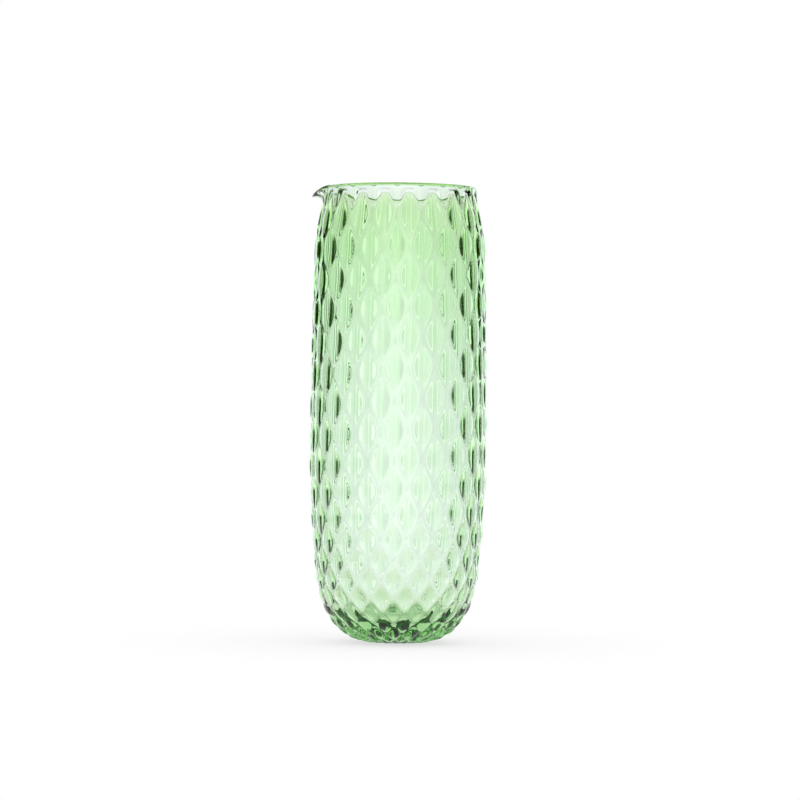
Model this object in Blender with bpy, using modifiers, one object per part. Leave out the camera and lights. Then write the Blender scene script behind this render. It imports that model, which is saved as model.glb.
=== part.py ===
"""Table carafe blown from a single gather of green glass.

The wall carries a diamond optic, a staggered lattice of raised diamonds between crossing grooves, and
the rim is pulled into a small pouring lip. Metres, Z up: the carafe stands on z = 0, its lip to -X.
"""
import math

import bmesh
import bpy
import numpy as np
from mathutils import Vector
from mathutils.geometry import interpolate_bezier

# Outside of the body, over the diamonds
HEIGHT = 0.250
RIM_RADIUS = 0.0418
SHOULDER_RADIUS = 0.0471
SHOULDER_DROP = 0.0335  # from the rim down to where the wall starts to close in
BELLY_RADIUS = 0.0489
BELLY_SHARE = 0.426  # height of the widest place, as a share of HEIGHT
HEEL_RADIUS = 0.0452
HEEL_HEIGHT = 0.040
RING_RADIUS = 0.0130  # outer edge of the flat ring it stands on
RIM_LEAN = math.radians(8.5)
SHOULDER_LEAN = math.radians(1.7)
HEEL_LEAN = math.radians(6.0)

# Underside and inside
PUNT_RADIUS = 0.0085  # inner edge of the flat ring
PUNT_RISE = 0.0015
FLOOR_THICKNESS = 0.0050  # glass at the middle of the bottom
WALL_HEEL = 0.0034
WALL_BELLY = 0.0038
WALL_SHOULDER = 0.0052
WALL_RIM = 0.0026

# Diamond optic
CELLS_ROUND = 20
GROOVE_DEPTH = 0.0015
ROW_LEAN = 0.24  # the rows stand askew by this share of a row, higher towards the side away from the lip
BODY_ROW = 0.0166  # from one row of diamonds to the next, staggered one
BASE_ROW = 0.0070
ROWS_SETTLE = 0.140  # the rows reach their full pitch this far along the wall from the ring
TOP_ROW_DROP = 0.0015  # middle of the topmost row, below the rim
RIM_FADE = 0.0030  # the grooves melt away over this distance from the rim
RING_FADE = 0.0060  # and over this distance from the ring

# Pouring lip
LIP_LENGTH = 0.0068  # beyond the rim
LIP_DROP = 0.0040  # its tip, below the rim
LIP_REACH = 0.0140  # how far down the wall the pull is felt
LIP_SPREAD = math.radians(28.0)  # half of its width round the rim
LIP_THINNING = 0.50  # share of the wall's thickness that the pull draws out at the tip

# Pull of the curves at their ends, as a share of the stretch between two of their points
EVEN_PULL = 1.0 / 3.0
RING_PULL = 0.19
HEEL_PULL = 0.71
FLOOR_PULL = 0.50
LIP_RISE_PULL = 0.58
LIP_TIP_PULL = 0.40

# Fineness of the facets
SPANS_PER_CELL = 4
ROWS_PER_DIAMOND = 2
LIP_ROWS = 7
INNER_ROWS = 17
PUNT_ROWS = 2
CURVE_POINTS = 120

OBJECT_NAME = "diamond_carafe"
NODE_NAME = "glass_body"


def leaning(angle):
    """Direction up the wall, closing in by the angle."""
    return Vector((-math.sin(angle), math.cos(angle)))


def smooth_step(value):
    value = np.clip(value, 0.0, 1.0)
    return value * value * (3.0 - 2.0 * value)


def curve_through(knots):
    """Points (radius, height) of a smooth curve. A knot is place, direction, pull before and pull after."""
    points = []
    for (start, way_out, _, pull_out), (end, way_in, pull_in, _) in zip(knots, knots[1:]):
        span = (end - start).length
        handle_out = start + way_out * span * pull_out
        handle_in = end - way_in * span * pull_in
        stretch = interpolate_bezier(start, handle_out, handle_in, end, CURVE_POINTS)
        points += [(p.x, p.y) for p in (stretch[1:] if points else stretch)]
    return np.array(points)


def lengths_along(curve):
    steps = np.linalg.norm(np.diff(curve, axis=0), axis=1)
    return np.concatenate(([0.0], np.cumsum(steps)))


def places_at(curve, distances):
    along = lengths_along(curve)
    return np.column_stack([np.interp(distances, along, curve[:, axis]) for axis in (0, 1)])


def outer_curve():
    """Outside of the body over its diamonds, from the flat ring up to the rim."""
    belly_height = HEIGHT * BELLY_SHARE
    shoulder_height = HEIGHT - SHOULDER_DROP
    rim_edge = HEIGHT - WALL_RIM / 2.0
    return curve_through([
        (Vector((RING_RADIUS, 0.0)), Vector((1.0, 0.0)), EVEN_PULL, RING_PULL),
        (Vector((HEEL_RADIUS, HEEL_HEIGHT)), leaning(-HEEL_LEAN), HEEL_PULL, EVEN_PULL),
        (Vector((BELLY_RADIUS, belly_height)), leaning(0.0), EVEN_PULL, EVEN_PULL),
        (Vector((SHOULDER_RADIUS, shoulder_height)), leaning(SHOULDER_LEAN), EVEN_PULL, EVEN_PULL),
        (Vector((RIM_RADIUS, rim_edge)), leaning(RIM_LEAN), EVEN_PULL, EVEN_PULL),
    ])


def inner_curve():
    """Inside of the vessel, from the middle of its floor up to the rim."""
    floor = PUNT_RISE + FLOOR_THICKNESS
    belly = Vector((BELLY_RADIUS - WALL_BELLY, HEIGHT * BELLY_SHARE))
    shoulder = Vector((SHOULDER_RADIUS - WALL_SHOULDER, HEIGHT - SHOULDER_DROP))
    rim = Vector((RIM_RADIUS - WALL_RIM, HEIGHT - WALL_RIM / 2.0))
    return curve_through([
        (Vector((0.0, floor)), Vector((1.0, 0.0)), EVEN_PULL, FLOOR_PULL),
        (Vector((HEEL_RADIUS - WALL_HEEL, HEEL_HEIGHT)), leaning(-HEEL_LEAN), FLOOR_PULL, EVEN_PULL),
        (belly, leaning(0.0), EVEN_PULL, EVEN_PULL),
        (shoulder, leaning(SHOULDER_LEAN), EVEN_PULL, EVEN_PULL),
        (rim, leaning(RIM_LEAN), EVEN_PULL, EVEN_PULL),
    ])


def row_numbers(along):
    """Row count at each distance up the wall: 0 at the topmost row, whole numbers at the rows below it."""
    pitch = BASE_ROW + (BODY_ROW - BASE_ROW) * smooth_step(along / ROWS_SETTLE)
    per_metre = 1.0 / pitch
    steps = np.diff(along) * (per_metre[1:] + per_metre[:-1]) / 2.0
    rows = np.concatenate(([0.0], np.cumsum(steps)))
    return rows - np.interp(along[-1] - TOP_ROW_DROP, along, rows)


def turned_profile():
    """Profile points from the inner floor over the rim to the underside, each with row number and relief."""
    outer = outer_curve()
    inner = inner_curve()
    along = lengths_along(outer)
    rows = row_numbers(along)
    top = along[-1]

    low_row = math.ceil(rows[0] * ROWS_PER_DIAMOND + 0.5)
    lip_start = np.interp(top - LIP_REACH, along, rows)
    high_row = math.floor(lip_start * ROWS_PER_DIAMOND)
    body_rows = np.arange(low_row, high_row + 1) / ROWS_PER_DIAMOND
    body = np.interp(body_rows, rows, along)
    lip = np.linspace(body[-1], top, LIP_ROWS + 1)[1:]
    outer_stations = np.concatenate(([0.0], body, lip))
    outer_points = places_at(outer, outer_stations)
    outer_rows = np.interp(outer_stations, along, rows)
    fade = smooth_step((top - outer_stations) / RIM_FADE) * smooth_step(outer_stations / RING_FADE)

    inner_top = lengths_along(inner)[-1]
    inner_lip = inner_top - (top - np.concatenate(([body[-1]], lip)))
    inner_body = np.linspace(0.0, inner_lip[0], INNER_ROWS + 1)[:-1]
    inner_points = places_at(inner, np.concatenate((inner_body, inner_lip)))

    rim_middle = (RIM_RADIUS - WALL_RIM / 2.0, HEIGHT - WALL_RIM / 2.0)
    turns = np.radians((135.0, 90.0, 45.0))
    rim_points = np.column_stack([
        rim_middle[0] + np.cos(turns) * WALL_RIM / 2.0,
        rim_middle[1] + np.sin(turns) * WALL_RIM / 2.0,
    ])
    reach = np.linspace(1.0, 0.0, PUNT_ROWS + 1)
    under_points = np.column_stack((PUNT_RADIUS * reach, PUNT_RISE * (1.0 - reach ** 2)))

    points = np.concatenate((inner_points, rim_points, outer_points[::-1], under_points))
    plain_before = np.zeros(len(inner_points) + len(rim_points))
    plain_after = np.zeros(len(under_points))
    row = np.concatenate((plain_before, outer_rows[::-1], plain_after))
    relief = np.concatenate((plain_before, GROOVE_DEPTH * fade[::-1], plain_after))
    return points, row, relief


def turned_blank(points, row, relief):
    """The profile turned into a closed shell that still has no grooves and no lip."""
    mesh = bpy.data.meshes.new("profile")
    edges = [(i, i + 1) for i in range(len(points) - 1)]
    mesh.from_pydata([(r, 0.0, z) for r, z in points], edges, [])
    for name, values in (("row", row), ("relief", relief)):
        layer = mesh.attributes.new(name, "FLOAT", "POINT")
        layer.data.foreach_set("value", values)
    profile = bpy.data.objects.new("profile", mesh)
    bpy.context.scene.collection.objects.link(profile)
    screw = profile.modifiers.new("Turn", "SCREW")
    screw.angle = math.tau
    screw.steps = CELLS_ROUND * SPANS_PER_CELL
    screw.render_steps = screw.steps
    screw.use_merge_vertices = True
    screw.merge_threshold = 1e-6
    evaluated = profile.evaluated_get(bpy.context.evaluated_depsgraph_get())
    blank = bpy.data.meshes.new_from_object(evaluated)
    bpy.data.objects.remove(profile)
    bpy.data.meshes.remove(mesh)
    return blank


def groove_share(turn, row):
    """Depth of the diamond lattice: 0 on top of a pillowed diamond and 1 along the grooves between them."""
    cells = turn / math.tau * CELLS_ROUND
    share = math.cos(math.pi * (cells + row / 2.0)) * math.cos(math.pi * (cells - row / 2.0))
    return 1.0 - math.sin(math.pi / 2.0 * abs(share))


def place_on_wall(outer, rows, row):
    """Place on the outer wall at a row number, and the way straight out of the wall there."""
    slope = np.gradient(outer, axis=0)
    place = Vector([np.interp(row, rows, outer[:, axis]) for axis in (0, 1)])
    up = Vector([np.interp(row, rows, slope[:, axis]) for axis in (0, 1)]).normalized()
    return place, Vector((up.y, -up.x))


def lip_pull(place):
    """How far the full pull at the lip's middle moves a point of the wall, outwards and upwards."""
    up = leaning(RIM_LEAN)
    out = Vector((up.y, -up.x))
    rim = Vector((RIM_RADIUS - WALL_RIM / 2.0, HEIGHT - WALL_RIM / 2.0))
    offset = place - rim
    below = -offset.dot(up)
    aside = offset.dot(out)
    if below >= LIP_REACH:
        return Vector((0.0, 0.0))

    start = rim - up * LIP_REACH
    tip = rim + Vector((LIP_LENGTH, -LIP_DROP))
    level = Vector((1.0, 0.0))
    handle_up = start + up * LIP_REACH * LIP_RISE_PULL
    handle_tip = tip - level * LIP_REACH * LIP_TIP_PULL
    line = interpolate_bezier(start, handle_up, handle_tip, tip, CURVE_POINTS)
    share = min(max(1.0 - below / LIP_REACH, 0.0), 1.0)
    along = share * (CURVE_POINTS - 1)
    step = min(int(along), CURVE_POINTS - 2)
    middle = line[step].lerp(line[step + 1], along - step)
    way = (line[step + 1] - line[step]).normalized()
    beyond = max(-below, 0.0)
    drawn = 1.0 - LIP_THINNING * share ** 2
    return middle + way * beyond + Vector((way.y, -way.x)) * aside * drawn - place


def lip_weight(turn):
    away = abs(math.remainder(turn - math.pi, math.tau))
    if away >= LIP_SPREAD:
        return 0.0
    return math.cos(math.pi / 2.0 * away / LIP_SPREAD) ** 2


def shape_wall(mesh):
    """Sink the grooves into the blank, pull its lip and split its facets along the grooves."""
    outer = outer_curve()
    rows = row_numbers(lengths_along(outer))
    bm = bmesh.new()
    bm.from_mesh(mesh)
    row_layer = bm.verts.layers.float["row"]
    relief_layer = bm.verts.layers.float["relief"]
    for vert in bm.verts:
        turn = math.atan2(vert.co.y, vert.co.x)
        place = Vector((math.hypot(vert.co.x, vert.co.y), vert.co.z))
        if vert[relief_layer] > 0.0:
            row = vert[row_layer]
            askew = ROW_LEAN * math.sin(math.pi * vert.co.z / HEIGHT) * math.cos(turn)
            place, outward = place_on_wall(outer, rows, row + askew)
            place -= outward * vert[relief_layer] * groove_share(turn, row)
        weight = lip_weight(turn)
        if weight > 0.0:
            pull = lip_pull(place)
            place += Vector((pull.x * weight, pull.y * weight * weight))
        vert.co = (place.x * math.cos(turn), place.x * math.sin(turn), place.y)

    splits = {"FIXED": [], "ALTERNATE": []}
    for face in bm.faces:
        if len(face.verts) != 4 or not all(vert[relief_layer] > 0.0 for vert in face.verts):
            continue
        middle = face.calc_center_median()
        half_cells = math.atan2(middle.y, middle.x) / math.tau * CELLS_ROUND * 2.0
        face_row = sum(vert[row_layer] for vert in face.verts) / 4.0
        falling = (math.floor(half_cells) + math.floor(face_row)) % 2 == 0
        splits["FIXED" if falling else "ALTERNATE"].append(face)
    for method, faces in splits.items():
        bmesh.ops.triangulate(bm, faces=faces, quad_method=method)
    bm.to_mesh(mesh)
    bm.free()


def glass_material():
    material = bpy.data.materials.new("green_glass")
    material.use_nodes = True
    shader = material.node_tree.nodes["Principled BSDF"]
    shader.inputs["Base Color"].default_value = (0.62, 0.88, 0.58, 1.0)
    shader.inputs["Metallic"].default_value = 0.0
    shader.inputs["Roughness"].default_value = 0.04
    shader.inputs["IOR"].default_value = 1.5
    shader.inputs["Transmission Weight"].default_value = 1.0
    return material


def build_carafe():
    collection = bpy.data.collections.new(OBJECT_NAME)
    bpy.context.scene.collection.children.link(collection)
    origin = bpy.data.objects.new("carafe_origin", None)
    collection.objects.link(origin)

    mesh = turned_blank(*turned_profile())
    mesh.name = NODE_NAME
    shape_wall(mesh)
    mesh.shade_smooth()
    mesh.set_sharp_from_angle(angle=math.radians(40.0))
    mesh.materials.append(glass_material())
    body = bpy.data.objects.new(NODE_NAME, mesh)
    body.parent = origin
    collection.objects.link(body)


for old in list(bpy.data.objects):
    bpy.data.objects.remove(old)
build_carafe()
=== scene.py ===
import math

import bpy
import numpy as np
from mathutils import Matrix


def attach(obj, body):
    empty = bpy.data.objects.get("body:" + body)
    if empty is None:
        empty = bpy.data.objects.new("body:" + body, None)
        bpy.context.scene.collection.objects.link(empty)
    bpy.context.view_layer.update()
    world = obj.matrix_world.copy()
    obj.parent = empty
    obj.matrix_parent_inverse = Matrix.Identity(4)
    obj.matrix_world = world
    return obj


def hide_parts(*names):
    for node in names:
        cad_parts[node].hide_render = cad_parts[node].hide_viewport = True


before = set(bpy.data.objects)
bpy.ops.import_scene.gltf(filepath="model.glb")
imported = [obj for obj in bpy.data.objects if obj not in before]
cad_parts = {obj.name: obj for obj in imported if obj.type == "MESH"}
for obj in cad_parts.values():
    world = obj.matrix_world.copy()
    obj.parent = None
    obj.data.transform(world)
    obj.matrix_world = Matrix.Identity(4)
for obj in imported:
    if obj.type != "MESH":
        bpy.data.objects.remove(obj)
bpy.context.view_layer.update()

# Outside of the body over the tops of its diamonds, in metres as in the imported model
HEIGHT = 0.250
RIM_RADIUS = 0.0418
SHOULDER_RADIUS = 0.0471
SHOULDER_DROP = 0.0335
BELLY_RADIUS = 0.0489
BELLY_SHARE = 0.426  # of the height, up from the table
HEEL_RADIUS = 0.0452
HEEL_HEIGHT = 0.040
RING_RADIUS = 0.0130
RIM_LEAN = math.radians(8.5)
SHOULDER_LEAN = math.radians(1.7)
HEEL_LEAN = math.radians(6.0)

# Underside and inside
PUNT_RADIUS = 0.0085
PUNT_RISE = 0.0015
FLOOR_THICKNESS = 0.0050
WALL_HEEL = 0.0034
WALL_BELLY = 0.0038
WALL_SHOULDER = 0.0052
WALL_RIM = 0.0026

# Reach of a curve's handles at its knots, as a share of the span between two knots
EVEN_PULL = 1.0 / 3.0
RING_PULL = 0.19
HEEL_PULL = 0.71
FLOOR_PULL = 0.50

# Diamond optic. Its top row is centred on the wall's upper edge, where the relief has faded out.
CELLS_ROUND = 20
BODY_ROW = 0.0166  # from one row of diamonds to the next, staggered one
BASE_ROW = 0.0070
ROWS_SETTLE = 0.140  # the rows reach their full pitch this far along the wall from the ring
ROW_LEAN = 0.24  # the rows stand askew by this share of a row, higher on the side away from the lip

# Relief of the diamonds on the outside, with steep flanks beside narrow grooves
GROOVE_DEPTH = 0.0012
GROOVE_ROUND = 0.15
GROOVE_POWER = 0.5
RIM_FADE = 0.0030
RING_FADE = 0.0060

# The softer ripple that they leave on the inside
INNER_DEPTH = 0.0007
INNER_ROUND = 0.70
INNER_POWER = 1.0
INNER_RIM_FADE = 0.0040
FLOOR_FADE = 0.0180

# Pouring lip
LIP_LENGTH = 0.0068
LIP_DROP = 0.0040
LIP_REACH = 0.0140  # the pull takes hold this far below the rim
LIP_SPREAD = math.radians(28.0)
LIP_THINNING = 0.50  # share of the wall's thickness lost at the tip
LIP_PULL_UP = 0.58  # reach of the lip's curve along the wall, then level, as shares of LIP_REACH
LIP_PULL_OUT = 0.40

# Fineness of the drawn glass. Rings are shared out by row; the lip and each metre of wall get further shares.
COLUMNS_PER_CELL = 22
COLUMNS = CELLS_ROUND * COLUMNS_PER_CELL
OUTER_STATIONS = 111
INNER_STATIONS = 101
RIM_STATIONS = 9
UNDER_STATIONS = 6
LIP_SHARE = 2.5
SHARE_PER_METRE = 40.0
CURVE_POINTS = 200

# Camera, at the carafe's own scale
CAMERA_DISTANCE = 1.80
CAMERA_HEIGHT = 0.133
CAMERA_ASIDE = 0.0008
CAMERA_ROLL = math.radians(-0.55)
CAMERA_TURN = math.radians(2.4)
SENSOR_WIDTH = 36.0  # millimetres
IMAGE_PIXELS = 800.0
METRES_PER_PIXEL = 0.00055  # in the plane of the carafe's axis

# Painted shade on the glass over its two faces, by metres from the top of the rim: darker and yellower near
# the rim and down the upper wall, clear at the belly and faintly darker low down. The first stop is a painted
# dark line on the rim's inner edge alone; on the outside the colours start with the second, a painted dark
# green band along the rim.
WHITE = (1.0, 1.0, 1.0, 1.0)
BLACK = (0.0, 0.0, 0.0, 1.0)
# Width of the painted dark line, painted shade on the rim's inner edge
PAINTED_RIM_LINE = 0.0019
OUTSIDE_START = 0.0004
WALL_PAINTED_SHADE = (
    # Painted dark line, then a painted dark green band along the rim, then painted shade fading down the
    # upper wall
    (0.0, (0.03, 0.09, 0.01, 1.0)),
    (OUTSIDE_START, (0.30, 0.58, 0.18, 1.0)),
    (0.0014, (0.40, 0.66, 0.26, 1.0)),
    (0.0022, (0.97, 0.99, 0.95, 1.0)),
    (0.0050, (0.94, 0.97, 0.91, 1.0)),
    (0.0100, (0.86, 0.92, 0.79, 1.0)),
    (0.0180, (0.87, 0.93, 0.80, 1.0)),
    (0.0450, (0.955, 0.98, 0.925, 1.0)),
    (0.0900, WHITE),
    (0.1800, WHITE),
    (0.2250, (0.95, 0.97, 0.95, 1.0)),
    (0.2450, (0.95, 0.98, 0.93, 1.0)),
)

# The glass in its depth
GLASS_IOR = 1.5
DEPTH_COLOUR = (0.24, 0.88, 0.0, 1.0)
DEPTH_DENSITY = 60.0

# Surface of the glass: patches of slightly softer polish, and faint upright striae from the blowing
POLISH_SCALE = 55.0
POLISH_NOISE = (0.4, 0.7)
POLISH_ROUGHNESS = (0.0, 0.018)
STRIAE_SCALE = (260.0, 260.0, 14.0)
STRIAE_HEIGHT = 0.00004
STRIAE_STRENGTH = 0.12

# Surroundings as the glass shows them, by degrees round from straight behind: a lit backdrop, a dark room at
# its sides and a white wall behind the camera
BACKLIGHT = 1.30
BACKDROP = (0.775, 0.795, 0.845, 1.0)
PALE = (0.72, 0.765, 0.78, 1.0)
BRIGHT = (0.97, 1.0, 1.05, 1.0)
TEAL = (0.07, 0.105, 0.095, 1.0)
OLIVE = (0.014, 0.02, 0.0, 1.0)
PANELS = (
    (0.0, BACKDROP),
    (10.5, BACKDROP),
    (11.5, PALE),
    (18.0, PALE),
    (20.0, BRIGHT),
    (37.5, BRIGHT),
    (40.0, TEAL),
    (46.0, TEAL),
    (49.0, OLIVE),
    (145.0, OLIVE),
    (158.0, WHITE),
)

# By degrees above the horizon: where those panels hang, and how the room darkens upwards
PANEL_BAND = ((-16.0, BLACK), (-8.0, WHITE), (45.0, WHITE), (60.0, BLACK))
CEILING = ((-20.0, WHITE), (16.0, WHITE), (34.0, OLIVE))

# White floor: its colour and its glow add up to white where the carafe throws no shadow
FLOOR_RADIUS = 0.30
FLOOR_SIDES = 96
FLOOR_GAP = 0.0004
FLOOR_COLOUR = (0.36, 0.36, 0.36, 1.0)
FLOOR_GLOW = 0.66
FLOOR_ROUGHNESS = 0.6

# Sockets of a mix node that takes colours, which share their names with its other sockets
MIX_FIRST = 6
MIX_SECOND = 7
MIX_RESULT = 2


def leaning(angle):
    """Direction up the wall, closing in by the angle."""
    return np.array((-math.sin(angle), math.cos(angle)))


def smooth_step(value):
    """0 below 0, 1 above 1 and a soft rise between."""
    value = np.clip(value, 0.0, 1.0)
    return value * value * (3.0 - 2.0 * value)


def bezier(start, handle_out, handle_in, end, count):
    """Points along a cubic curve."""
    t = np.linspace(0.0, 1.0, count)[:, None]
    s = 1.0 - t
    return s ** 3 * start + 3.0 * s * s * t * handle_out + 3.0 * s * t * t * handle_in + t ** 3 * end


def curve_through(knots):
    """Points (radius, height) of a smooth curve. A knot is place, direction, pull before and pull after."""
    stretches = []
    for (start, way_out, _, pull_out), (end, way_in, pull_in, _) in zip(knots, knots[1:]):
        start, end = np.array(start), np.array(end)
        span = np.linalg.norm(end - start)
        handle_out = start + way_out * span * pull_out
        handle_in = end - way_in * span * pull_in
        stretch = bezier(start, handle_out, handle_in, end, CURVE_POINTS)
        stretches.append(stretch[1:] if stretches else stretch)
    return np.concatenate(stretches)


def lengths_along(curve):
    """Distance along a curve at each of its points."""
    steps = np.linalg.norm(np.diff(curve, axis=0), axis=1)
    return np.concatenate(([0.0], np.cumsum(steps)))


def places_at(curve, distances):
    """Points of a curve at distances along it."""
    along = lengths_along(curve)
    return np.column_stack([np.interp(distances, along, curve[:, axis]) for axis in (0, 1)])


def outer_curve():
    """Outside of the body over the tops of its diamonds, from the flat ring up to the rim."""
    shoulder = HEIGHT - SHOULDER_DROP
    rim_edge = HEIGHT - WALL_RIM / 2.0
    return curve_through([
        ((RING_RADIUS, 0.0), np.array((1.0, 0.0)), EVEN_PULL, RING_PULL),
        ((HEEL_RADIUS, HEEL_HEIGHT), leaning(-HEEL_LEAN), HEEL_PULL, EVEN_PULL),
        ((BELLY_RADIUS, HEIGHT * BELLY_SHARE), leaning(0.0), EVEN_PULL, EVEN_PULL),
        ((SHOULDER_RADIUS, shoulder), leaning(SHOULDER_LEAN), EVEN_PULL, EVEN_PULL),
        ((RIM_RADIUS, rim_edge), leaning(RIM_LEAN), EVEN_PULL, EVEN_PULL),
    ])


def inner_curve():
    """Inside of the vessel, from the middle of its floor up to the rim."""
    floor = PUNT_RISE + FLOOR_THICKNESS
    shoulder = HEIGHT - SHOULDER_DROP
    rim_edge = HEIGHT - WALL_RIM / 2.0
    return curve_through([
        ((0.0, floor), np.array((1.0, 0.0)), EVEN_PULL, FLOOR_PULL),
        ((HEEL_RADIUS - WALL_HEEL, HEEL_HEIGHT), leaning(-HEEL_LEAN), FLOOR_PULL, EVEN_PULL),
        ((BELLY_RADIUS - WALL_BELLY, HEIGHT * BELLY_SHARE), leaning(0.0), EVEN_PULL, EVEN_PULL),
        ((SHOULDER_RADIUS - WALL_SHOULDER, shoulder), leaning(SHOULDER_LEAN), EVEN_PULL, EVEN_PULL),
        ((RIM_RADIUS - WALL_RIM, rim_edge), leaning(RIM_LEAN), EVEN_PULL, EVEN_PULL),
    ])


def row_numbers(along):
    """Row count at each distance up the wall: 0 at its upper edge and one less at each row below it."""
    pitch = BASE_ROW + (BODY_ROW - BASE_ROW) * smooth_step(along / ROWS_SETTLE)
    per_metre = 1.0 / pitch
    steps = np.diff(along) * (per_metre[1:] + per_metre[:-1]) / 2.0
    rows = np.concatenate(([0.0], np.cumsum(steps)))
    return rows - rows[-1]


def ring_distances(along, rows, count):
    """Distances up the wall that share out the rings by row, with some for the floor and more for the lip."""
    lip = LIP_SHARE * smooth_step(1.0 - (along[-1] - along) / LIP_REACH)
    share = rows + lip + SHARE_PER_METRE * along
    return np.interp(np.linspace(share[0], share[-1], count), share, along)


def ways_out(points, side):
    """Unit ways straight out of the glass along a profile whose glass lies on one side of it."""
    tangent = np.gradient(points, axis=0)
    tangent /= np.linalg.norm(tangent, axis=1)[:, None]
    return side * np.column_stack((tangent[:, 1], -tangent[:, 0]))


def wall_profile():
    """Profile from the inner floor over the rim to the underside, with row number, relief and way out."""
    outer = outer_curve()
    inner = inner_curve()
    along = lengths_along(outer)
    rows = row_numbers(along)
    stations = ring_distances(along, rows, OUTER_STATIONS)
    outer_points = places_at(outer, stations)
    outer_rows = np.interp(stations, along, rows)
    outer_fade = smooth_step((along[-1] - stations) / RIM_FADE) * smooth_step(stations / RING_FADE)

    inner_lengths = lengths_along(inner)
    level_rows = np.interp(inner[:, 1], outer[:, 1], rows)
    inner_along = ring_distances(inner_lengths, level_rows, INNER_STATIONS)
    inner_points = places_at(inner, inner_along)
    inner_rows = np.interp(inner_points[:, 1], outer[:, 1], rows)
    rise = inner_points[:, 1] - PUNT_RISE - FLOOR_THICKNESS
    rim_fade = smooth_step((inner_along[-1] - inner_along) / INNER_RIM_FADE)
    inner_fade = rim_fade * smooth_step(rise / FLOOR_FADE)

    turns = np.radians(np.linspace(180.0, 0.0, RIM_STATIONS + 2)[1:-1])
    rim_points = np.column_stack([
        RIM_RADIUS - WALL_RIM / 2.0 + np.cos(turns) * WALL_RIM / 2.0,
        HEIGHT - WALL_RIM / 2.0 + np.sin(turns) * WALL_RIM / 2.0,
    ])
    reach = np.linspace(1.0, 0.0, UNDER_STATIONS)
    under_points = np.column_stack((PUNT_RADIUS * reach, PUNT_RISE * (1.0 - reach ** 2)))

    plain_rim = np.zeros(RIM_STATIONS)
    plain_under = np.zeros(UNDER_STATIONS)
    points = np.concatenate((inner_points, rim_points, outer_points[::-1], under_points))
    row = np.concatenate((inner_rows, plain_rim, outer_rows[::-1], plain_under))
    relief = np.concatenate((
        INNER_DEPTH * inner_fade, plain_rim, GROOVE_DEPTH * outer_fade[::-1], plain_under,
    ))
    way = np.concatenate((
        ways_out(inner_points, -1.0), np.zeros((RIM_STATIONS, 2)),
        ways_out(outer_points, 1.0)[::-1], np.zeros((UNDER_STATIONS, 2)),
    ))
    return points, row, relief, way


def groove_share(turn, row, roundness, power):
    """Depth of the diamond lattice: 0 on top of a diamond and 1 along the rounded grooves between them."""
    cells = turn / math.tau * CELLS_ROUND
    share = np.cos(math.pi * (cells + row / 2.0)) * np.cos(math.pi * (cells - row / 2.0))
    lowest = roundness ** power
    rise = (share ** 2 + roundness ** 2) ** (power / 2.0) - lowest
    return 1.0 - rise / ((1.0 + roundness ** 2) ** (power / 2.0) - lowest)


def lip_pull(radius, height):
    """How far the full pull at the lip's middle moves points of the wall, outwards and upwards."""
    up = leaning(RIM_LEAN)
    out = np.array((up[1], -up[0]))
    rim = np.array((RIM_RADIUS - WALL_RIM / 2.0, HEIGHT - WALL_RIM / 2.0))
    offset = np.stack((radius, height), axis=-1) - rim
    below = -(offset @ up)
    aside = offset @ out
    start = rim - up * LIP_REACH
    tip = rim + np.array((LIP_LENGTH, -LIP_DROP))
    level = np.array((1.0, 0.0))
    handle_up = start + up * LIP_REACH * LIP_PULL_UP
    handle_out = tip - level * LIP_REACH * LIP_PULL_OUT
    line = bezier(start, handle_up, handle_out, tip, CURVE_POINTS)
    slope = np.gradient(line, axis=0)
    slope /= np.linalg.norm(slope, axis=1)[:, None]
    risen = np.clip(1.0 - below / LIP_REACH, 0.0, 1.0)
    share = risen * (CURVE_POINTS - 1)
    steps = np.arange(CURVE_POINTS)
    place = np.stack([np.interp(share, steps, line[:, axis]) for axis in (0, 1)], axis=-1)
    way = np.stack([np.interp(share, steps, slope[:, axis]) for axis in (0, 1)], axis=-1)
    across = np.stack((way[..., 1], -way[..., 0]), axis=-1)
    beyond = np.maximum(-below, 0.0)
    drawn = 1.0 - LIP_THINNING * risen ** 2
    moved = place + way * beyond[..., None] + across * (aside * drawn)[..., None]
    pull = moved - np.stack((radius, height), axis=-1)
    return np.where((below >= LIP_REACH)[..., None], 0.0, pull)


def lip_weight(turn):
    """Share of the lip's pull at each turn round the rim: 1 at the lip's middle, on the -X side."""
    away = np.abs(turn - math.pi)
    share = np.clip(away / LIP_SPREAD, 0.0, 1.0)
    return np.cos(math.pi / 2.0 * share) ** 2


def glass_places():
    """Places of the drawn glass: one ring of columns for every point of the profile."""
    points, row, relief, way = wall_profile()
    turn = np.linspace(0.0, math.tau, COLUMNS, endpoint=False)
    row_lean = ROW_LEAN * np.sin(math.pi * np.clip(points[:, 1] / HEIGHT, 0.0, 1.0))
    row = row[:, None] - row_lean[:, None] * np.cos(turn)[None, :]
    inside = (np.arange(len(points)) < INNER_STATIONS)[:, None]
    roundness = np.where(inside, INNER_ROUND, GROOVE_ROUND)
    power = np.where(inside, INNER_POWER, GROOVE_POWER)
    depth = relief[:, None] * groove_share(turn[None, :], row, roundness, power)
    radius = points[:, :1] - depth * way[:, :1]
    height = points[:, 1:] - depth * way[:, 1:]
    weight = lip_weight(turn)[None, :]
    pull = lip_pull(radius, height)
    radius = radius + pull[..., 0] * weight
    height = height + pull[..., 1] * weight ** 2
    return np.stack((radius * np.cos(turn), radius * np.sin(turn), height), axis=-1)


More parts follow.
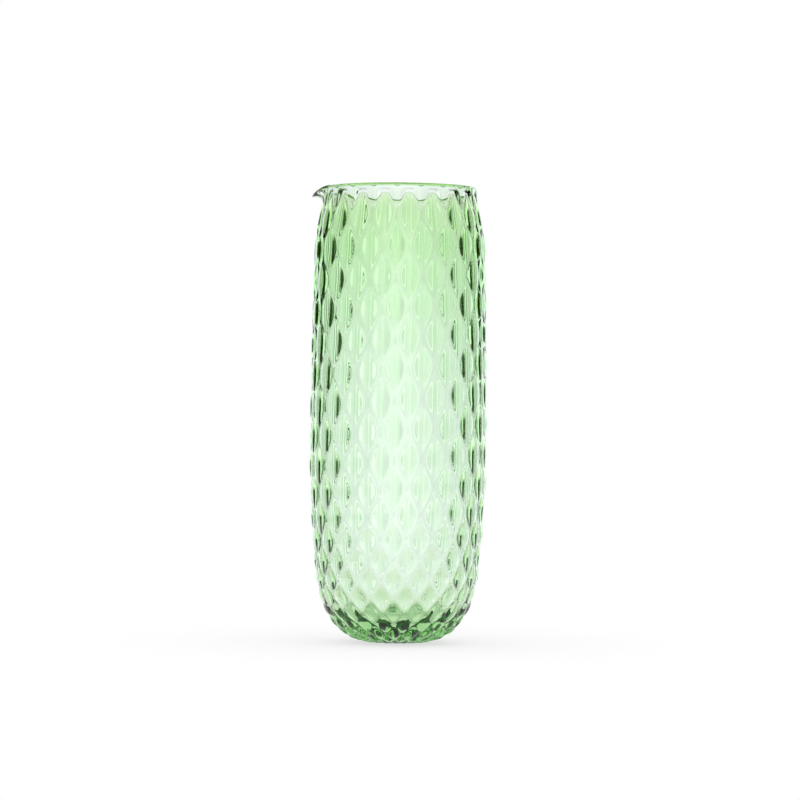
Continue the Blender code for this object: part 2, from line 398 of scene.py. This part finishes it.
def rim_distances():
    """Distance from the rim along the profile at each place of the drawn glass, as the wall's painted shade
    takes it; the rim's inner edge reads 0, for its painted dark line.
    """
    along = lengths_along(wall_profile()[0])
    past_rim = along - along[INNER_STATIONS + RIM_STATIONS // 2]
    # Places on the rim's inner edge take the first, darkest stop: the painted dark line
    on_painted_rim_line = (past_rim < 0.0) & (past_rim > -PAINTED_RIM_LINE)
    away = np.where(on_painted_rim_line, 0.0, np.maximum(np.abs(past_rim), OUTSIDE_START))
    return np.concatenate((away[:1], np.repeat(away[1:-1], COLUMNS), away[-1:]))


def glass_mesh():
    """The carafe as one closed skin, with a point in the middle of its floor and one under it."""
    rings = glass_places()
    places = np.concatenate((rings[0, :1], rings[1:-1].reshape(-1, 3), rings[-1, :1]))
    last = len(places) - 1
    last_ring = last - COLUMNS
    columns = np.arange(COLUMNS)
    after = (columns + 1) % COLUMNS
    faces = [(0, 1 + a, 1 + b) for a, b in zip(columns, after)]
    for low in range(1, last_ring, COLUMNS):
        high = low + COLUMNS
        faces += list(zip(low + columns, high + columns, high + after, low + after))
    faces += [(last_ring + a, last, last_ring + b) for a, b in zip(columns, after)]
    mesh = bpy.data.meshes.new("carafe_glass")
    mesh.from_pydata(places.tolist(), [], [tuple(int(i) for i in face) for face in faces])
    below = mesh.attributes.new("below_rim", "FLOAT", "POINT")
    below.data.foreach_set("value", rim_distances())
    mesh.update()
    mesh.shade_smooth()
    return mesh


def math_node(tree, operation, *values):
    """A math node's output, for values that are numbers or other nodes' outputs."""
    node = tree.nodes.new("ShaderNodeMath")
    node.operation = operation
    for socket, value in zip(node.inputs, values):
        if isinstance(value, float):
            socket.default_value = value
        else:
            tree.links.new(value, socket)
    return node.outputs[0]


def colour_ramp(tree, factor, stops):
    """A colour ramp over factor, for stops of position and colour."""
    ramp = tree.nodes.new("ShaderNodeValToRGB")
    elements = ramp.color_ramp.elements
    elements.remove(elements[1])
    elements[0].position, elements[0].color = stops[0]
    for position, colour in stops[1:]:
        elements.new(position).color = colour
    tree.links.new(factor, ramp.inputs["Fac"])
    return ramp.outputs["Color"]


def mixed(tree, factor, first, second, blend="MIX"):
    """A mix node's colour, for a factor and colours that are values or other nodes' outputs."""
    node = tree.nodes.new("ShaderNodeMix")
    node.data_type = "RGBA"
    node.blend_type = blend
    sockets = (node.inputs["Factor"], node.inputs[MIX_FIRST], node.inputs[MIX_SECOND])
    for socket, value in zip(sockets, (factor, first, second)):
        if isinstance(value, (float, tuple)):
            socket.default_value = value
        else:
            tree.links.new(value, socket)
    return node.outputs[MIX_RESULT]


def green_glass():
    """Clear green glass with painted shade, drawn darker and yellower towards the rim, and with uneven polish
    and faint striae.
    """
    material = bpy.data.materials.new("green_glass")
    material.use_nodes = True
    tree = material.node_tree
    shader = tree.nodes["Principled BSDF"]
    shader.inputs["IOR"].default_value = GLASS_IOR
    shader.inputs["Transmission Weight"].default_value = 1.0

    below = tree.nodes.new("ShaderNodeAttribute")
    below.attribute_name = "below_rim"
    # Painted shade: the glass's colour drawn darker and yellower towards the rim, with a painted dark line on
    # its inner edge
    reach = WALL_PAINTED_SHADE[-1][0]
    share = math_node(tree, "DIVIDE", below.outputs["Fac"], reach)
    painted_shade = colour_ramp(tree, share, [(distance / reach, colour) for distance, colour in WALL_PAINTED_SHADE])
    tree.links.new(painted_shade, shader.inputs["Base Color"])

    place = tree.nodes.new("ShaderNodeTexCoord")
    patches = tree.nodes.new("ShaderNodeTexNoise")
    patches.inputs["Scale"].default_value = POLISH_SCALE
    tree.links.new(place.outputs["Object"], patches.inputs["Vector"])
    polish = tree.nodes.new("ShaderNodeMapRange")
    polish.inputs["From Min"].default_value, polish.inputs["From Max"].default_value = POLISH_NOISE
    polish.inputs["To Min"].default_value, polish.inputs["To Max"].default_value = POLISH_ROUGHNESS
    tree.links.new(patches.outputs["Fac"], polish.inputs["Value"])
    tree.links.new(polish.outputs["Result"], shader.inputs["Roughness"])

    stretched = tree.nodes.new("ShaderNodeMapping")
    stretched.inputs["Scale"].default_value = STRIAE_SCALE
    tree.links.new(place.outputs["Object"], stretched.inputs["Vector"])
    streaks = tree.nodes.new("ShaderNodeTexNoise")
    streaks.inputs["Scale"].default_value = 1.0
    tree.links.new(stretched.outputs["Vector"], streaks.inputs["Vector"])
    striae = tree.nodes.new("ShaderNodeBump")
    striae.inputs["Strength"].default_value = STRIAE_STRENGTH
    striae.inputs["Distance"].default_value = STRIAE_HEIGHT
    tree.links.new(streaks.outputs["Fac"], striae.inputs["Height"])
    tree.links.new(striae.outputs["Normal"], shader.inputs["Normal"])

    body = tree.nodes.new("ShaderNodeVolumeAbsorption")
    body.inputs["Color"].default_value = DEPTH_COLOUR
    body.inputs["Density"].default_value = DEPTH_DENSITY
    tree.links.new(body.outputs["Volume"], tree.nodes["Material Output"].inputs["Volume"])
    return material


def by_elevation(stops):
    """Ramp stops over half of a direction's Z plus a half, for stops by degrees above the horizon."""
    return [((math.sin(math.radians(degrees)) + 1.0) / 2.0, colour) for degrees, colour in stops]


def white_tent():
    """White all round; in and through the glass it is a lit backdrop with a dark room at its sides."""
    world = bpy.data.worlds.new("white_tent")
    bpy.context.scene.world = world
    world.use_nodes = True
    tree = world.node_tree
    place = tree.nodes.new("ShaderNodeTexCoord")
    axes = tree.nodes.new("ShaderNodeSeparateXYZ")
    tree.links.new(place.outputs["Generated"], axes.inputs[0])
    bearing = math_node(tree, "ARCTAN2", axes.outputs["X"], axes.outputs["Y"])
    aside = math_node(tree, "DIVIDE", math_node(tree, "ABSOLUTE", bearing), math.pi)
    upward = math_node(tree, "MULTIPLY_ADD", axes.outputs["Z"], 0.5, 0.5)

    panels = colour_ramp(tree, aside, [(degrees / 180.0, colour) for degrees, colour in PANELS])
    hung = colour_ramp(tree, upward, by_elevation(PANEL_BAND))
    ceiling = colour_ramp(tree, upward, by_elevation(CEILING))
    room = mixed(tree, 1.0, mixed(tree, hung, WHITE, panels), ceiling, "MULTIPLY")

    path = tree.nodes.new("ShaderNodeLightPath")
    glossy, transmitted = path.outputs["Is Glossy Ray"], path.outputs["Is Transmission Ray"]
    in_glass = math_node(tree, "MAXIMUM", glossy, transmitted)
    strength = math_node(tree, "MULTIPLY_ADD", in_glass, BACKLIGHT - 1.0, 1.0)
    background = tree.nodes["Background"]
    tree.links.new(mixed(tree, in_glass, WHITE, room), background.inputs["Color"])
    tree.links.new(strength, background.inputs["Strength"])


def floor_material():
    """Matt floor that takes a shadow, with a glow that only the camera and the glass see."""
    material = bpy.data.materials.new("white_floor")
    material.use_nodes = True
    tree = material.node_tree
    shader = tree.nodes["Principled BSDF"]
    shader.inputs["Base Color"].default_value = FLOOR_COLOUR
    shader.inputs["Roughness"].default_value = FLOOR_ROUGHNESS
    shader.inputs["Specular IOR Level"].default_value = 0.0
    shader.inputs["Emission Color"].default_value = WHITE
    path = tree.nodes.new("ShaderNodeLightPath")
    glossy, transmitted = path.outputs["Is Glossy Ray"], path.outputs["Is Transmission Ray"]
    seen = math_node(tree, "MAXIMUM", path.outputs["Is Camera Ray"], glossy)
    seen = math_node(tree, "MAXIMUM", seen, transmitted)
    glow = math_node(tree, "MULTIPLY", seen, FLOOR_GLOW)
    tree.links.new(glow, shader.inputs["Emission Strength"])
    return material


def white_floor():
    """A round floor just under the carafe, as part of the stage."""
    mesh = bpy.data.meshes.new("floor")
    turns = np.linspace(0.0, math.tau, FLOOR_SIDES, endpoint=False)
    edge = [(FLOOR_RADIUS * math.cos(t), FLOOR_RADIUS * math.sin(t), 0.0) for t in turns]
    mesh.from_pydata(edge, [], [tuple(range(len(edge)))])
    mesh.materials.append(floor_material())
    floor = bpy.data.objects.new("floor", mesh)
    bpy.context.scene.collection.objects.link(floor)
    floor.location.z = -FLOOR_GAP


def camera():
    """A level camera in front of the carafe, slightly turned and rolled as the photograph is."""
    data = bpy.data.cameras.new("camera")
    view = bpy.data.objects.new("camera", data)
    bpy.context.scene.collection.objects.link(view)
    right = np.array((math.cos(CAMERA_TURN), math.sin(CAMERA_TURN)))
    back = np.array((math.sin(CAMERA_TURN), -math.cos(CAMERA_TURN)))
    view.location = (*(back * CAMERA_DISTANCE + right * CAMERA_ASIDE), CAMERA_HEIGHT)
    view.rotation_euler = (math.pi / 2.0, CAMERA_ROLL, CAMERA_TURN)
    data.sensor_width = SENSOR_WIDTH
    data.lens = SENSOR_WIDTH * CAMERA_DISTANCE / (IMAGE_PIXELS * METRES_PER_PIXEL)
    bpy.context.scene.camera = view


bpy.context.scene.view_settings.view_transform = "Standard"
glass = bpy.data.objects.new("carafe_glass", glass_mesh())
bpy.context.scene.collection.objects.link(glass)
glass.data.materials.append(green_glass())
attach(glass, "root")
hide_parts("glass_body")
white_tent()
white_floor()
camera()
